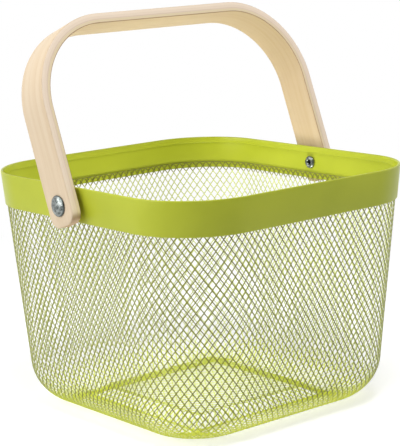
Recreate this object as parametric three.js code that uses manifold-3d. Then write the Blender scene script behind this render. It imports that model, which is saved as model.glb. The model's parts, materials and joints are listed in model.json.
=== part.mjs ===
// Carrying basket: a hemmed rim band, an open diamond-mesh body with a raised floor, and a bent
// plywood handle that turns on two rivets.
// Millimetres, +Z up, standing on Z = 0 and centred on Z. The handle turns about an axis along X.
import * as THREE from 'three';
import { mergeVertices } from 'three/addons/utils/BufferGeometryUtils.js';
import Module from 'manifold-3d';

// Plan of the walls at the rim, outside the band.
const RIM_WIDTH = 242;
const RIM_LENGTH = 260;
const RIM_CORNER = 56;
const BODY_HEIGHT = 183.5;
// Plan that the tapering walls would reach at the ground.
const FOOT_WIDTH = 224;
const FOOT_LENGTH = 226;
const FOOT_CORNER = 57;

// Rim band: one strip of sheet with its top edge folded inwards.
const BAND_HEIGHT = 26;
const BAND_SHEET = 1;
const HEM_HEIGHT = 5;
const HEM_STEPS = 4;
const BAND_CORNER_STEPS = 12;

// Mesh body: a sheet of diamond gaps that laps inside the band and is drawn in below to a foot
// ring, a step up and a flange that carries the floor panel.
const MESH_SHEET = 1.2;
const STRAND_WIDTH = 3;
const SELVEDGE = 4;
const MESH_LAP = 5;
const BOTTOM_FILLET = 31;
const FOOT_RING = 16;
const FLOOR_RISE = 7;
const FLOOR_STEP = 7;
const FLOOR_FLANGE = 20;
const FLOOR_CORNER = 14;
const MESH_COLUMNS = 32;
const WALL_ROWS = 7;
const FILLET_ROWS = 3;

// Floor panel: a flat square of the same mesh on the flange.
const FLOOR_MARGIN = 2;
const FLOOR_GAP_WIDTH = 17.5;
const FLOOR_GAP_LENGTH = 27;
const FLOOR_CORNER_STEPS = 5;

// Handle: a bent plywood strap, leaning back as it stands.
const HANDLE_WIDTH = 29;
const HANDLE_THICKNESS = 8;
const HANDLE_RISE = 128.1;
const HANDLE_CORNER = 59.2;
const HANDLE_CORNER_STEPS = 10;
const HANDLE_END = 15.7;
const HANDLE_END_CORNER = 10;
const HANDLE_EASE = 0.8;
const HANDLE_LEAN = 20.7;

// Rivets and the spacers that hold the handle off the band.
const SHANK_DIAMETER = 5;
const HEAD_DIAMETER = 15.6;
const HEAD_EDGE = 0.7;
const HEAD_DOME = 1.8;
const TAIL_DIAMETER = 10;
const TAIL_HEIGHT = 1.8;
const TAIL_BORE = 3.2;
const TAIL_BORE_DEPTH = 4;
const SPACER_DIAMETER = 14;
const SPACER_THICKNESS = 2.1;
const ROUND_STEPS = 20;
const CURVE_STEPS = 4;

// Gaps between pieces that seat on, or turn in, each other.
const SEAT_GAP = 0.3;
const HOLE_GAP = 0.35;

const wasm = await Module();
wasm.setup();

const { lerp, degToRad } = THREE.MathUtils;
const MESH_INSET = BAND_SHEET + SEAT_GAP;
const BAND_BOTTOM = BODY_HEIGHT - BAND_HEIGHT;
const MESH_TOP = BAND_BOTTOM + MESH_LAP;
// The pivot sits in the middle of the plain stretch of band between hem and mesh.
const PIVOT_HEIGHT = (MESH_TOP + BODY_HEIGHT - HEM_HEIGHT) / 2;
const HOLE_RADIUS = SHANK_DIAMETER / 2 + HOLE_GAP;

function halfWidth(z) {
  return lerp(FOOT_WIDTH, RIM_WIDTH, z / BODY_HEIGHT) / 2;
}

function halfLength(z) {
  return lerp(FOOT_LENGTH, RIM_LENGTH, z / BODY_HEIGHT) / 2;
}

function cornerRadius(z, inset) {
  return Math.max(lerp(FOOT_CORNER, RIM_CORNER, z / BODY_HEIGHT) - inset, FLOOR_CORNER);
}

// A quarter of the rim's outline: half a short side, a corner arc and half a long side.
const QUARTER = {
  side: RIM_WIDTH / 2 - RIM_CORNER,
  arc: (Math.PI / 2) * RIM_CORNER,
  end: RIM_LENGTH / 2 - RIM_CORNER,
};
const QUARTER_LENGTH = QUARTER.side + QUARTER.arc + QUARTER.end;

// A point of the rounded plan outline at height z, drawn in by inset. turn runs once round the
// basket from 0 to 1, counter-clockwise from the middle of the -Y side.
function planPoint(turn, z, inset) {
  const quarters = (((turn % 1) + 1) % 1) * 4;
  const quarter = Math.floor(quarters);
  const odd = quarter % 2 === 1;
  const along = QUARTER_LENGTH * (odd ? quarter + 1 - quarters : quarters - quarter);
  const radius = cornerRadius(z, inset);
  const middle = new THREE.Vector2(halfWidth(z) - inset - radius, halfLength(z) - inset - radius);
  const point = new THREE.Vector2();
  if (along <= QUARTER.side) {
    point.set((middle.x * along) / QUARTER.side, middle.y + radius);
  } else if (along <= QUARTER.side + QUARTER.arc) {
    const angle = (along - QUARTER.side) / RIM_CORNER;
    point.set(middle.x + radius * Math.sin(angle), middle.y + radius * Math.cos(angle));
  } else {
    point.set(middle.x + radius, (middle.y * (QUARTER_LENGTH - along)) / QUARTER.end);
  }
  const signX = quarter < 2 ? 1 : -1;
  const signY = quarter === 1 || quarter === 2 ? 1 : -1;
  return new THREE.Vector3(signX * point.x, signY * point.y, z);
}

// The turns at which a ring needs a station: side middles and evenly along each corner arc.
function ringTurns(cornerSteps) {
  const quarter = [0];
  for (let k = 0; k <= cornerSteps; k += 1) {
    quarter.push((QUARTER.side + (QUARTER.arc * k) / cornerSteps) / QUARTER_LENGTH / 4);
  }
  const mirrored = quarter.map((turn) => 0.5 - turn);
  const half = [...quarter, 0.25, ...mirrored.reverse().slice(0, -1)];
  return [...half, ...half.map((turn) => turn + 0.5)];
}

function indexed(points, triangles) {
  const geometry = new THREE.BufferGeometry();
  const positions = points.flatMap((point) => [point.x, point.y, point.z]);
  geometry.setAttribute('position', new THREE.Float32BufferAttribute(positions, 3));
  geometry.setIndex(triangles.flat());
  return geometry;
}

// Welds a three.js geometry into one closed shell that faces outwards.
function welded(geometry) {
  geometry.deleteAttribute('normal');
  geometry.deleteAttribute('uv');
  const shell = mergeVertices(geometry);
  const points = shell.getAttribute('position');
  const index = shell.getIndex().array;
  const corner = [0, 1, 2].map(() => new THREE.Vector3());
  const triangles = [];
  let volume = 0;
  for (let k = 0; k < index.length; k += 3) {
    const triangle = [index[k], index[k + 1], index[k + 2]];
    if (new Set(triangle).size === 3) {
      triangles.push(triangle);
      triangle.forEach((vertex, side) => corner[side].fromBufferAttribute(points, vertex));
      volume += corner[0].dot(corner[1].clone().cross(corner[2]));
    }
  }
  if (volume < 0) {
    triangles.forEach((triangle) => triangle.reverse());
  }
  shell.setIndex(triangles.flat());
  return shell;
}

function solid(geometry) {
  const shell = welded(geometry);
  return new wasm.Manifold(
    new wasm.Mesh({
      numProp: 3,
      vertProperties: new Float32Array(shell.getAttribute('position').array),
      triVerts: new Uint32Array(shell.getIndex().array),
    }),
  );
}

function geometryOf(manifold) {
  const mesh = manifold.getMesh();
  const geometry = new THREE.BufferGeometry();
  geometry.setAttribute('position', new THREE.BufferAttribute(mesh.vertProperties, 3));
  geometry.setIndex(new THREE.BufferAttribute(mesh.triVerts, 1));
  return geometry;
}

// A rod along X through the pivot holes.
function holeCutter(length) {
  return new THREE.CylinderGeometry(HOLE_RADIUS, HOLE_RADIUS, length, ROUND_STEPS).rotateZ(Math.PI / 2);
}

function extruded(shape, depth, options) {
  return new THREE.ExtrudeGeometry(shape, { depth, bevelEnabled: false, ...options });
}

// Rim band: its section, as [inset, height] pairs, follows the plan outline all the way round.
function bandSection() {
  const section = [[0, BAND_BOTTOM]];
  for (let k = 0; k <= HEM_STEPS; k += 1) {
    const angle = (Math.PI * k) / HEM_STEPS;
    section.push([BAND_SHEET * (1 - Math.cos(angle)), BODY_HEIGHT - BAND_SHEET * (1 - Math.sin(angle))]);
  }
  section.push([2 * BAND_SHEET, BODY_HEIGHT - HEM_HEIGHT]);
  section.push([BAND_SHEET, BODY_HEIGHT - HEM_HEIGHT]);
  section.push([BAND_SHEET, BAND_BOTTOM]);
  return section;
}

function rimBand() {
  const section = bandSection();
  const turns = ringTurns(BAND_CORNER_STEPS);
  const points = turns.flatMap((turn) => section.map(([inset, z]) => planPoint(turn, z, inset)));
  const triangles = [];
  const at = (station, k) => (station % turns.length) * section.length + (k % section.length);
  turns.forEach((turn, station) => {
    section.forEach((pair, k) => {
      const [a, b] = [at(station, k), at(station, k + 1)];
      const [c, d] = [at(station + 1, k + 1), at(station + 1, k)];
      triangles.push([a, d, c], [a, c, b]);
    });
  });
  const holes = holeCutter(2 * RIM_WIDTH).translate(0, 0, PIVOT_HEIGHT);
  return geometryOf(solid(indexed(points, triangles)).subtract(solid(holes)));
}

// Rows of mesh nodes: down the wall, round the bottom fillet, then one row each for the foot
// ring, the step and the flange. Even and odd rows are half a column apart.
const FOOT_ROW = WALL_ROWS + FILLET_ROWS;
const FLOOR_LINE = [
  [BOTTOM_FILLET, 0],
  [BOTTOM_FILLET + FOOT_RING, 0],
  [BOTTOM_FILLET + FOOT_RING + FLOOR_STEP, FLOOR_RISE],
  [BOTTOM_FILLET + FOOT_RING + FLOOR_STEP + FLOOR_FLANGE, FLOOR_RISE],
];
const LAST_ROW = FOOT_ROW + FLOOR_LINE.length - 1;

// Section of the mesh body at a row, depth below its outer skin: how far in, and how high.
function meshSection(row, depth) {
  if (row <= WALL_ROWS) {
    return [depth, lerp(MESH_TOP, BOTTOM_FILLET, row / WALL_ROWS)];
  }
  if (row <= FOOT_ROW) {
    const angle = ((row - WALL_ROWS) / FILLET_ROWS) * (Math.PI / 2);
    const radius = BOTTOM_FILLET - depth;
    return [BOTTOM_FILLET - radius * Math.cos(angle), BOTTOM_FILLET - radius * Math.sin(angle)];
  }
  const span = Math.min(Math.floor(row - FOOT_ROW), FLOOR_LINE.length - 2);
  const share = row - FOOT_ROW - span;
  const [from, to] = [FLOOR_LINE[span], FLOOR_LINE[span + 1]];
  return [lerp(from[0], to[0], share), lerp(from[1], to[1], share) + depth];
}

function meshPoint(column, row, depth) {
  const [inset, z] = meshSection(row, depth);
  return planPoint(column / MESH_COLUMNS, z, MESH_INSET + inset);
}

// Share of a diamond's diagonals that is left open when its strands have their full width.
function openShare(column, row) {
  const above = Math.max(row - 1, 0);
  const below = Math.min(row + 1, LAST_ROW);
  const width = meshPoint(column - 0.5, row, 0).distanceTo(meshPoint(column + 0.5, row, 0));
  const tall = meshPoint(column, above, 0).distanceTo(meshPoint(column, below, 0));
  const height = (2 * tall) / (below - above);
  return 1 - (STRAND_WIDTH * Math.hypot(width, height)) / (width * height);
}

// Closes an outer and an inner skin, given as like-numbered points, along every open edge.
function thickened(outer, inner, polygons) {
  const edges = new Set();
  const triangles = [];
  const count = outer.length;
  polygons.forEach((polygon) => {
    polygon.forEach((from, k) => edges.add(`${from} ${polygon[(k + 1) % polygon.length]}`));
    for (let k = 1; k < polygon.length - 1; k += 1) {
      const [a, b, c] = [polygon[0], polygon[k], polygon[k + 1]];
      triangles.push([a, b, c], [count + a, count + c, count + b]);
    }
  });
  edges.forEach((edge) => {
    const [from, to] = edge.split(' ').map(Number);
    if (!edges.has(`${to} ${from}`)) {
      triangles.push([to, from, count + from], [to, count + from, count + to]);
    }
  });
  return indexed([...outer, ...inner], triangles);
}

// Mesh body: each gap is a diamond between four nodes, or half a diamond at the two selvedges.
function meshBody() {
  const outer = [];
  const inner = [];
  const polygons = [];
  const vertex = (column, row) => {
    inner.push(meshPoint(column, row, MESH_SHEET));
    return outer.push(meshPoint(column, row, 0)) - 1;
  };
  const rowLength = (row) => meshPoint(0, row, 0).distanceTo(meshPoint(0, row + 1, 0));
  const selvedge = { 0: SELVEDGE / rowLength(0), [LAST_ROW]: SELVEDGE / rowLength(LAST_ROW - 1) };

  const gaps = [];
  for (let row = 0; row <= LAST_ROW; row += 1) {
    const edge = selvedge[row] ?? 0;
    const level = row === 0 ? edge : row - edge;
    gaps.push([]);
    for (let k = 0; k < MESH_COLUMNS; k += 1) {
      const column = k + ((row + 1) % 2) / 2;
      const share = openShare(column, row);
      const reach = (share - edge) / 2;
      const gap = { left: vertex(column - reach, level), right: vertex(column + reach, level) };
      if (row > 0) {
        gap.top = vertex(column, row - share);
      }
      if (row < LAST_ROW) {
        gap.bottom = vertex(column, row + share);
      }
      if (edge > 0) {
        gap.edgeLeft = vertex(column - reach, row);
        gap.edgeRight = vertex(column + reach, row);
      }
      gaps[row].push(gap);
    }
  }

  const gapAt = (row, k) => gaps[row][(k + MESH_COLUMNS) % MESH_COLUMNS];
  for (let row = 0; row <= LAST_ROW; row += 1) {
    const even = row % 2 === 0;
    for (let k = 0; k < MESH_COLUMNS; k += 1) {
      const gap = gapAt(row, k);
      const left = gapAt(row, even ? k - 1 : k);
      const right = gapAt(row, even ? k : k + 1);
      if (row === 0) {
        const below = gapAt(1, k);
        polygons.push([left.edgeRight, left.right, below.top, right.left, right.edgeLeft]);
        polygons.push([gap.edgeLeft, gap.left, gap.right, gap.edgeRight]);
      } else if (row === LAST_ROW) {
        const above = gapAt(row - 1, k);
        polygons.push([above.bottom, left.right, left.edgeRight, right.edgeLeft, right.left]);
        polygons.push([gap.left, gap.edgeLeft, gap.edgeRight, gap.right]);
      } else {
        polygons.push([gapAt(row - 1, k).bottom, left.right, gapAt(row + 1, k).top, right.left]);
      }
      if (row < LAST_ROW) {
        const lowerRight = gapAt(row + 1, even ? k + 1 : k);
        const lowerLeft = gapAt(row + 1, even ? k : k - 1);
        polygons.push([gap.right, gap.bottom, lowerRight.left, lowerRight.top]);
        polygons.push([gap.left, lowerLeft.top, lowerLeft.right, gap.bottom]);
      }
    }
  }
  return thickened(outer, inner, polygons);
}

// A rectangle with rounded corners, centred on the origin.
function roundedRectangle(halfX, halfY, radius) {
  const shape = new THREE.Shape();
  shape.moveTo(halfX, radius - halfY);
  shape.absarc(halfX - radius, halfY - radius, radius, 0, Math.PI / 2);
  shape.absarc(radius - halfX, halfY - radius, radius, Math.PI / 2, Math.PI);
  shape.absarc(radius - halfX, radius - halfY, radius, Math.PI, 1.5 * Math.PI);
  shape.absarc(halfX - radius, radius - halfY, radius, 1.5 * Math.PI, 2 * Math.PI);
  return shape;
}

function diamond(x, y, halfX, halfY) {
  return new THREE.Shape([
    new THREE.Vector2(x, y - halfY),
    new THREE.Vector2(x - halfX, y),
    new THREE.Vector2(x, y + halfY),
    new THREE.Vector2(x + halfX, y),
  ]);
}

// Floor panel: a rounded square with every diamond gap that fits inside its plain edge.
function floorPanel() {
  const [plateau] = FLOOR_LINE[FLOOR_LINE.length - 2];
  const inset = MESH_INSET + plateau + FLOOR_MARGIN;
  const halfX = halfWidth(FLOOR_RISE) - inset;
  const halfY = halfLength(FLOOR_RISE) - inset;
  const outline = roundedRectangle(halfX, halfY, FLOOR_CORNER);
  let panel = solid(extruded(outline, MESH_SHEET, { curveSegments: FLOOR_CORNER_STEPS }));
  const diagonal = Math.hypot(FLOOR_GAP_WIDTH, FLOOR_GAP_LENGTH);
  const share = 1 - (STRAND_WIDTH * diagonal) / (FLOOR_GAP_WIDTH * FLOOR_GAP_LENGTH);
  const gapX = (FLOOR_GAP_WIDTH * share) / 2;
  const gapY = (FLOOR_GAP_LENGTH * share) / 2;
  const columns = Math.floor((2 * (halfX - SELVEDGE - gapX)) / FLOOR_GAP_WIDTH);
  const rows = Math.floor((2 * (halfY - SELVEDGE - gapY)) / FLOOR_GAP_LENGTH);
  for (let column = -columns; column <= columns; column += 1) {
    for (let row = -rows; row <= rows; row += 1) {
      const inCorner = Math.abs(column) === columns && Math.abs(row) === rows;
      if ((column + row) % 2 === 0 && !inCorner) {
        const [x, y] = [(column * FLOOR_GAP_WIDTH) / 2, (row * FLOOR_GAP_LENGTH) / 2];
        const gap = extruded(diamond(x, y, gapX, gapY), 3 * MESH_SHEET).translate(0, 0, -MESH_SHEET);
        panel = panel.subtract(solid(gap));
      }
    }
  }
  return geometryOf(panel);
}

// Distances from the middle of the basket to each face along the pivot, and the rivet's grip.
const SPACER_FACE = halfWidth(PIVOT_HEIGHT + SPACER_DIAMETER / 2) + SEAT_GAP;
const HANDLE_FACE = SPACER_FACE + SPACER_THICKNESS + SEAT_GAP;
const HEAD_FACE = HANDLE_FACE + HANDLE_THICKNESS + SEAT_GAP;
const TAIL_FACE = halfWidth(PIVOT_HEIGHT - TAIL_DIAMETER / 2) - MESH_INSET;
const RIVET_GRIP = HEAD_FACE - TAIL_FACE;

// One side of the strap as an arch from end to end, with its corners as arcs.
function archPath(path, half, rise, radius, forward) {
  const turn = (share) => Math.PI * share;
  if (forward) {
    path.lineTo(-half, rise - radius);
    path.absarc(radius - half, rise - radius, radius, turn(1), turn(0.5), true);
    path.absarc(half - radius, rise - radius, radius, turn(0.5), 0, true);
    path.lineTo(half, -HANDLE_END);
  } else {
    path.lineTo(half, rise - radius);
    path.absarc(half - radius, rise - radius, radius, 0, turn(0.5), false);
    path.absarc(radius - half, rise - radius, radius, turn(0.5), turn(1), false);
    path.lineTo(-half, -HANDLE_END);
  }
}

// Handle about its own pivot: the arch seen from the front, cut to the rounded ends seen from
// the side, with the two rivet holes through it.
function handleStrap() {
  const outside = HANDLE_FACE + HANDLE_THICKNESS;
  const arch = new THREE.Shape();
  arch.moveTo(-outside, -HANDLE_END);
  archPath(arch, outside, HANDLE_RISE + HANDLE_THICKNESS, HANDLE_CORNER + HANDLE_THICKNESS, true);
  arch.lineTo(HANDLE_FACE, -HANDLE_END);
  archPath(arch, HANDLE_FACE, HANDLE_RISE, HANDLE_CORNER, false);
  const strap = extruded(arch, HANDLE_WIDTH - 2 * HANDLE_EASE, {
    curveSegments: HANDLE_CORNER_STEPS,
    bevelEnabled: true,
    bevelThickness: HANDLE_EASE,
    bevelSize: HANDLE_EASE,
    bevelOffset: -HANDLE_EASE,
    bevelSegments: 2,
  });
  strap.translate(0, 0, HANDLE_EASE - HANDLE_WIDTH / 2).rotateX(Math.PI / 2);

  const half = HANDLE_WIDTH / 2;
  const beside = half + HANDLE_EASE;
  const above = HANDLE_RISE + 2 * HANDLE_THICKNESS;
  const ends = new THREE.Shape();
  ends.moveTo(-beside, above);
  ends.lineTo(-beside, HANDLE_END_CORNER - HANDLE_END);
  ends.absarc(
    HANDLE_END_CORNER - half, HANDLE_END_CORNER - HANDLE_END, HANDLE_END_CORNER, Math.PI, 1.5 * Math.PI,
  );
  ends.absarc(
    half - HANDLE_END_CORNER, HANDLE_END_CORNER - HANDLE_END, HANDLE_END_CORNER, 1.5 * Math.PI, 2 * Math.PI,
  );
  ends.lineTo(beside, HANDLE_END_CORNER - HANDLE_END);
  ends.lineTo(beside, above);
  const side = extruded(ends, 4 * outside, { curveSegments: HANDLE_CORNER_STEPS });
  side.translate(0, 0, -2 * outside).rotateX(Math.PI / 2).rotateZ(Math.PI / 2);

  const shaped = solid(strap).intersect(solid(side));
  return geometryOf(shaped.subtract(solid(holeCutter(4 * outside))));
}

function lathed(profile) {
  const points = profile.map(([radius, y]) => new THREE.Vector2(radius, y));
  return welded(new THREE.LatheGeometry(points, ROUND_STEPS));
}

// Semi-tubular rivet along Y with the seat of its domed head at Y = 0 and its rolled tail below.
function rivet() {
  const head = HEAD_DIAMETER / 2;
  const sphere = (head * head + HEAD_DOME * HEAD_DOME) / (2 * HEAD_DOME);
  const profile = [];
  for (let k = 0; k <= CURVE_STEPS; k += 1) {
    const angle = (Math.asin(head / sphere) * k) / CURVE_STEPS;
    const drop = sphere * (1 - Math.cos(angle));
    profile.push([sphere * Math.sin(angle), HEAD_EDGE + HEAD_DOME - drop]);
  }
  profile.push([head, 0], [SHANK_DIAMETER / 2, 0], [SHANK_DIAMETER / 2, -RIVET_GRIP]);
  const bore = TAIL_BORE / 2;
  const roll = (TAIL_DIAMETER / 2 - bore) / 2;
  for (let k = 0; k <= CURVE_STEPS; k += 1) {
    const angle = (Math.PI * k) / CURVE_STEPS;
    profile.push([bore + roll * (1 + Math.cos(angle)), -RIVET_GRIP - TAIL_HEIGHT * Math.sin(angle)]);
  }
  profile.push([bore, TAIL_BORE_DEPTH - RIVET_GRIP], [0, TAIL_BORE_DEPTH - RIVET_GRIP]);
  return lathed(profile);
}

// Spacer ring along Y with its band side at Y = 0.
function spacer() {
  const outer = SPACER_DIAMETER / 2;
  return lathed([
    [HOLE_RADIUS, 0],
    [outer, 0],
    [outer, SPACER_THICKNESS],
    [HOLE_RADIUS, SPACER_THICKNESS],
    [HOLE_RADIUS, 0],
  ]);
}

function finish(color, roughness, metalness) {
  return new THREE.MeshStandardMaterial({ color, roughness, metalness, flatShading: true });
}

function piece(name, geometry, material) {
  const mesh = new THREE.Mesh(geometry, material);
  mesh.name = name;
  return mesh;
}

const LIME_PAINT = 0xb5c23a;
const BIRCH = 0xe6d0af;
const ZINC = 0x9ba2a6;
const SPACER_GREY = 0x8f9290;

const basket = new THREE.Group();
basket.add(piece('rim_band', rimBand(), finish(LIME_PAINT, 0.42, 0.1)));
basket.add(piece('mesh_body', meshBody(), finish(LIME_PAINT, 0.45, 0.1)));

const floor = piece('floor_panel', floorPanel(), finish(LIME_PAINT, 0.45, 0.1));
floor.position.z = FLOOR_RISE + MESH_SHEET + SEAT_GAP;
basket.add(floor);

// The lathed pieces point outwards from each side of the pivot.
for (const [side, sign] of [['left', -1], ['right', 1]]) {
  const pivot = new THREE.Group();
  pivot.position.z = PIVOT_HEIGHT;
  pivot.rotation.z = (-sign * Math.PI) / 2;
  const ring = piece(`spacer_${side}`, spacer(), finish(SPACER_GREY, 0.5, 0));
  ring.position.y = SPACER_FACE;
  const pin = piece(`rivet_${side}`, rivet(), finish(ZINC, 0.35, 1));
  pin.position.y = HEAD_FACE;
  pivot.add(ring, pin);
  basket.add(pivot);
}

const swing = new THREE.Group();
swing.position.z = PIVOT_HEIGHT;
swing.rotation.x = -degToRad(HANDLE_LEAN);
swing.add(piece('handle', handleStrap(), finish(BIRCH, 0.55, 0)));
basket.add(swing);

export default basket;
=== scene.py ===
"""Carrying basket: a lime mesh body, a hemmed rim band and a bent plywood handle on two rivets."""

import json
import math

import bmesh
import bpy
from mathutils import Matrix, Vector


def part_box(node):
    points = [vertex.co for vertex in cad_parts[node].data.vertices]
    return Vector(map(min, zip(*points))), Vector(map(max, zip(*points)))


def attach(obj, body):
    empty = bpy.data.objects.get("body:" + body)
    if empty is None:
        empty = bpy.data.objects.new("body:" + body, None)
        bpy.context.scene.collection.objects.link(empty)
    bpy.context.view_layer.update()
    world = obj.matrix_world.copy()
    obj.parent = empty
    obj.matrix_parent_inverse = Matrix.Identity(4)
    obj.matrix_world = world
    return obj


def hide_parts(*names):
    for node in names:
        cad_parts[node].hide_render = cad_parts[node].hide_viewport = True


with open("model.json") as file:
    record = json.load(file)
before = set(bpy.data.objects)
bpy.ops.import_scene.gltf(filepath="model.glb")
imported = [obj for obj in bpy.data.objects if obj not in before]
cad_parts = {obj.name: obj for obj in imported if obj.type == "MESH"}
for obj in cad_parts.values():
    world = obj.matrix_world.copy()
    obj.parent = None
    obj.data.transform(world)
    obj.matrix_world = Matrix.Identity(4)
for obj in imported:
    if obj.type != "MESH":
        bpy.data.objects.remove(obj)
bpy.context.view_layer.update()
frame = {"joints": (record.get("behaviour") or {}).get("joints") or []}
RIM_LOW, RIM_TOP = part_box("rim_band")
MESH_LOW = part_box("mesh_body")[0]
PANEL_LOW, PANEL_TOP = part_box("floor_panel")
STRAP_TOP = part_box("handle")[1]
RIVET_LOW, RIVET_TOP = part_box("rivet_left")
SPACER_LOW, SPACER_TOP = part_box("spacer_left")
PIVOT = Vector(frame["joints"][0]["pos_m"])

bl_info = {
    "name": "Carrying Basket",
    "version": (1, 0, 0),
    "blender": (4, 5, 0),
    "location": "3D View > Sidebar > Basket",
    "description": "Models a mesh basket with a hemmed rim band and a swinging plywood handle",
    "category": "Add Mesh",
}


def length(name, description, default):
    return bpy.props.FloatProperty(
        name=name, description=description, default=default, min=0.0, unit="LENGTH", precision=5
    )


def angle(name, description, degrees):
    return bpy.props.FloatProperty(
        name=name, description=description, default=math.radians(degrees), subtype="ANGLE"
    )


def count(name, description, default):
    return bpy.props.IntProperty(name=name, description=description, default=default, min=1)


def share(name, description, default):
    return bpy.props.FloatProperty(
        name=name, description=description, default=default, min=0.0, max=1.0, subtype="FACTOR"
    )


def colour(name, description, default):
    opaque = (*default, 1.0)
    return bpy.props.FloatVectorProperty(
        name=name, description=description, default=opaque, size=4, min=0.0, max=1.0, subtype="COLOR"
    )


class BodySizes(bpy.types.PropertyGroup):
    """Sizes of the rim band, the mesh body and the floor panel."""

    rim_width: length("Rim width", "Outside of the rim from side to side", 0.242)
    rim_length: length("Rim length", "Outside of the rim from end to end", 0.26)
    rim_corner: length("Rim corner", "Radius of the rim's corners", 0.056)
    foot_width: length("Foot width", "Width that the tapering walls reach at the ground", 0.224)
    foot_length: length("Foot length", "Length that the tapering walls reach at the ground", 0.226)
    foot_corner: length("Foot corner", "Corner radius that the walls reach at the ground", 0.057)
    band_sheet: length("Band sheet", "Thickness of the rim band's sheet", 0.001)
    band_edge: length("Band edge", "Rounding of the band's cut edges", 0.0003)
    hem: length("Hem", "Height of the hem folded inside the rim", 0.005)
    corner_steps: count("Corner steps", "Stations along each corner of the band", 24)
    mesh_inset: length("Mesh inset", "How far the mesh lies inside the band's outside", 0.0013)
    mesh_lap: length("Mesh lap", "How far the mesh reaches up behind the band", 0.005)
    strand_width: length("Strand width", "Width of a mesh strand", 0.0006)
    strand_depth: length("Strand depth", "Thickness of the mesh", 0.0003)
    strand_twist: length("Strand twist", "How far a strand's lower edge is turned inwards", 0.0004)
    strand_bond: share("Strand bond", "Share of a row that each node is longer by", 0.06)
    columns: count("Columns", "Diamonds once round the walls and the foot ring", 152)
    floor_columns: count("Floor columns", "Diamonds once round the step and the flange", 96)
    wall_rows: count("Wall rows", "Half rows of diamonds down the wall", 33)
    fillet_rows: count("Fillet rows", "Half rows of diamonds round the bottom edge", 12)
    foot_rows: count("Foot rows", "Half rows of diamonds across the foot ring", 4)
    step_rows: count("Step rows", "Half rows of diamonds up to the raised floor", 2)
    flange_rows: count("Flange rows", "Half rows of diamonds across the flange", 1)
    bottom_fillet: length("Bottom fillet", "Radius between wall and foot ring", 0.031)
    foot_ring: length("Foot ring", "Width of the ring that the basket stands on", 0.016)
    floor_rise: length("Floor rise", "Height of the raised floor", 0.007)
    floor_step: length("Floor step", "Width of the slope up to the raised floor", 0.007)
    floor_flange: length("Floor flange", "Width of the flange under the floor panel", 0.006)
    floor_corner: length("Floor corner", "Corner radius of the floor", 0.004)
    gap_width: length("Gap width", "Width of a diamond of the floor panel", 0.0053)
    gap_length: length("Gap length", "Length of a diamond of the floor panel", 0.0076)


class HandleSizes(bpy.types.PropertyGroup):
    """Sizes of the handle strap, the rivets and the spacers."""

    width: length("Strap width", "Width of the plywood strap", 0.029)
    thickness: length("Strap thickness", "Thickness of the plywood strap", 0.008)
    rise: length("Rise", "Height of the strap's inside above the pivot", 0.1281)
    corner: length("Corner", "Inner radius of the strap's bends", 0.0592)
    corner_steps: count("Bend steps", "Stations along each bend", 28)
    end: length("End", "Length of strap below the pivot", 0.0157)
    end_corner: length("End corner", "Rounding of the strap's ends", 0.01)
    ease: length("Ease", "Rounding along the strap's edges", 0.0009)
    lean: angle("Lean", "How far the handle leans back as it stands", 20.7)
    hole: length("Hole", "Diameter of the rivet holes", 0.0057)
    shank: length("Shank", "Diameter of the rivet shanks", 0.005)
    head_edge: length("Head edge", "Height of the rivet head's edge", 0.0007)
    head_dome: length("Head dome", "Height of the rivet head's dome", 0.0018)
    tail: length("Tail", "Diameter of the rolled tail", 0.01)
    tail_height: length("Tail height", "Height of the rolled tail", 0.0018)
    tail_bore: length("Tail bore", "Diameter of the hollow in the tail", 0.0032)
    tail_bore_depth: length("Tail bore depth", "Depth of the hollow in the tail", 0.004)
    round_steps: count("Round steps", "Steps round the turned pieces", 48)


class Finishes(bpy.types.PropertyGroup):
    """Colours of the paint, the wood and the metal, some with light or shade painted into them."""

    lime: colour("Lime", "Paint of the rim band", (0.47, 0.52, 0.03))
    lime_shade: colour("Lime shade", "Darker patches in the band's paint", (0.42, 0.47, 0.024))
    # Painted shade: the outside of the mesh is painted darker than the band's lime.
    mesh_outside_shade: colour("Deep mesh", "Paint on the outside of the mesh", (0.25, 0.255, 0.04))
    # Painted light: the inside of the mesh is painted paler than the band's lime.
    mesh_inside_light: colour("Pale mesh", "Paint on the inside of the mesh", (0.72, 0.77, 0.3))
    # Painted light: the lowest part of the mesh is painted a brighter yellow for the light on the floor.
    mesh_floor_light: colour("Floor mesh", "Paint on the lowest part of the mesh", (0.8, 0.87, 0.07))
    birch: colour("Birch", "Pale wood of the strap's faces", (0.72, 0.595, 0.44))
    birch_grain: colour("Birch grain", "Darker streaks along the grain", (0.62, 0.47, 0.3))
    # Painted shade: the strap's inner face is tinted darker for the lesser light on it.
    birch_inside_shade: colour("Birch inside", "Tint of the strap's inner face", (0.92, 0.875, 0.77))
    # Part real, part painted light: the core plies are paler on the edges, and made paler still to stand
    # for light on the edge faces.
    core_ply_and_light: colour("Core ply", "Pale plies on the strap's edges", (0.97, 0.81, 0.66))
    pale_ply: colour("Pale ply", "Yellow ply near the strap's inside", (0.84, 0.7, 0.44))
    ply_line: colour("Ply line", "Glue lines on the strap's edges", (0.42, 0.24, 0.12))
    end_grain: colour("End grain", "Cut ends of the plies", (0.36, 0.2, 0.09))
    zinc: colour("Zinc", "Plating of the rivets", (0.31, 0.335, 0.325))
    # Painted reflection and painted shade: the dark zinc stands for dark reflections in the mottle and
    # for shade round the head's rim.
    zinc_reflection_and_shade: colour("Dull zinc", "Darker bloom on the plating", (0.08, 0.095, 0.09))
    spacer: colour("Spacer", "Grey of the spacers", (0.16, 0.16, 0.14))
    spacer_rub: colour("Spacer rub", "Paler rubbed grey of the spacers", (0.26, 0.26, 0.24))


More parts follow.
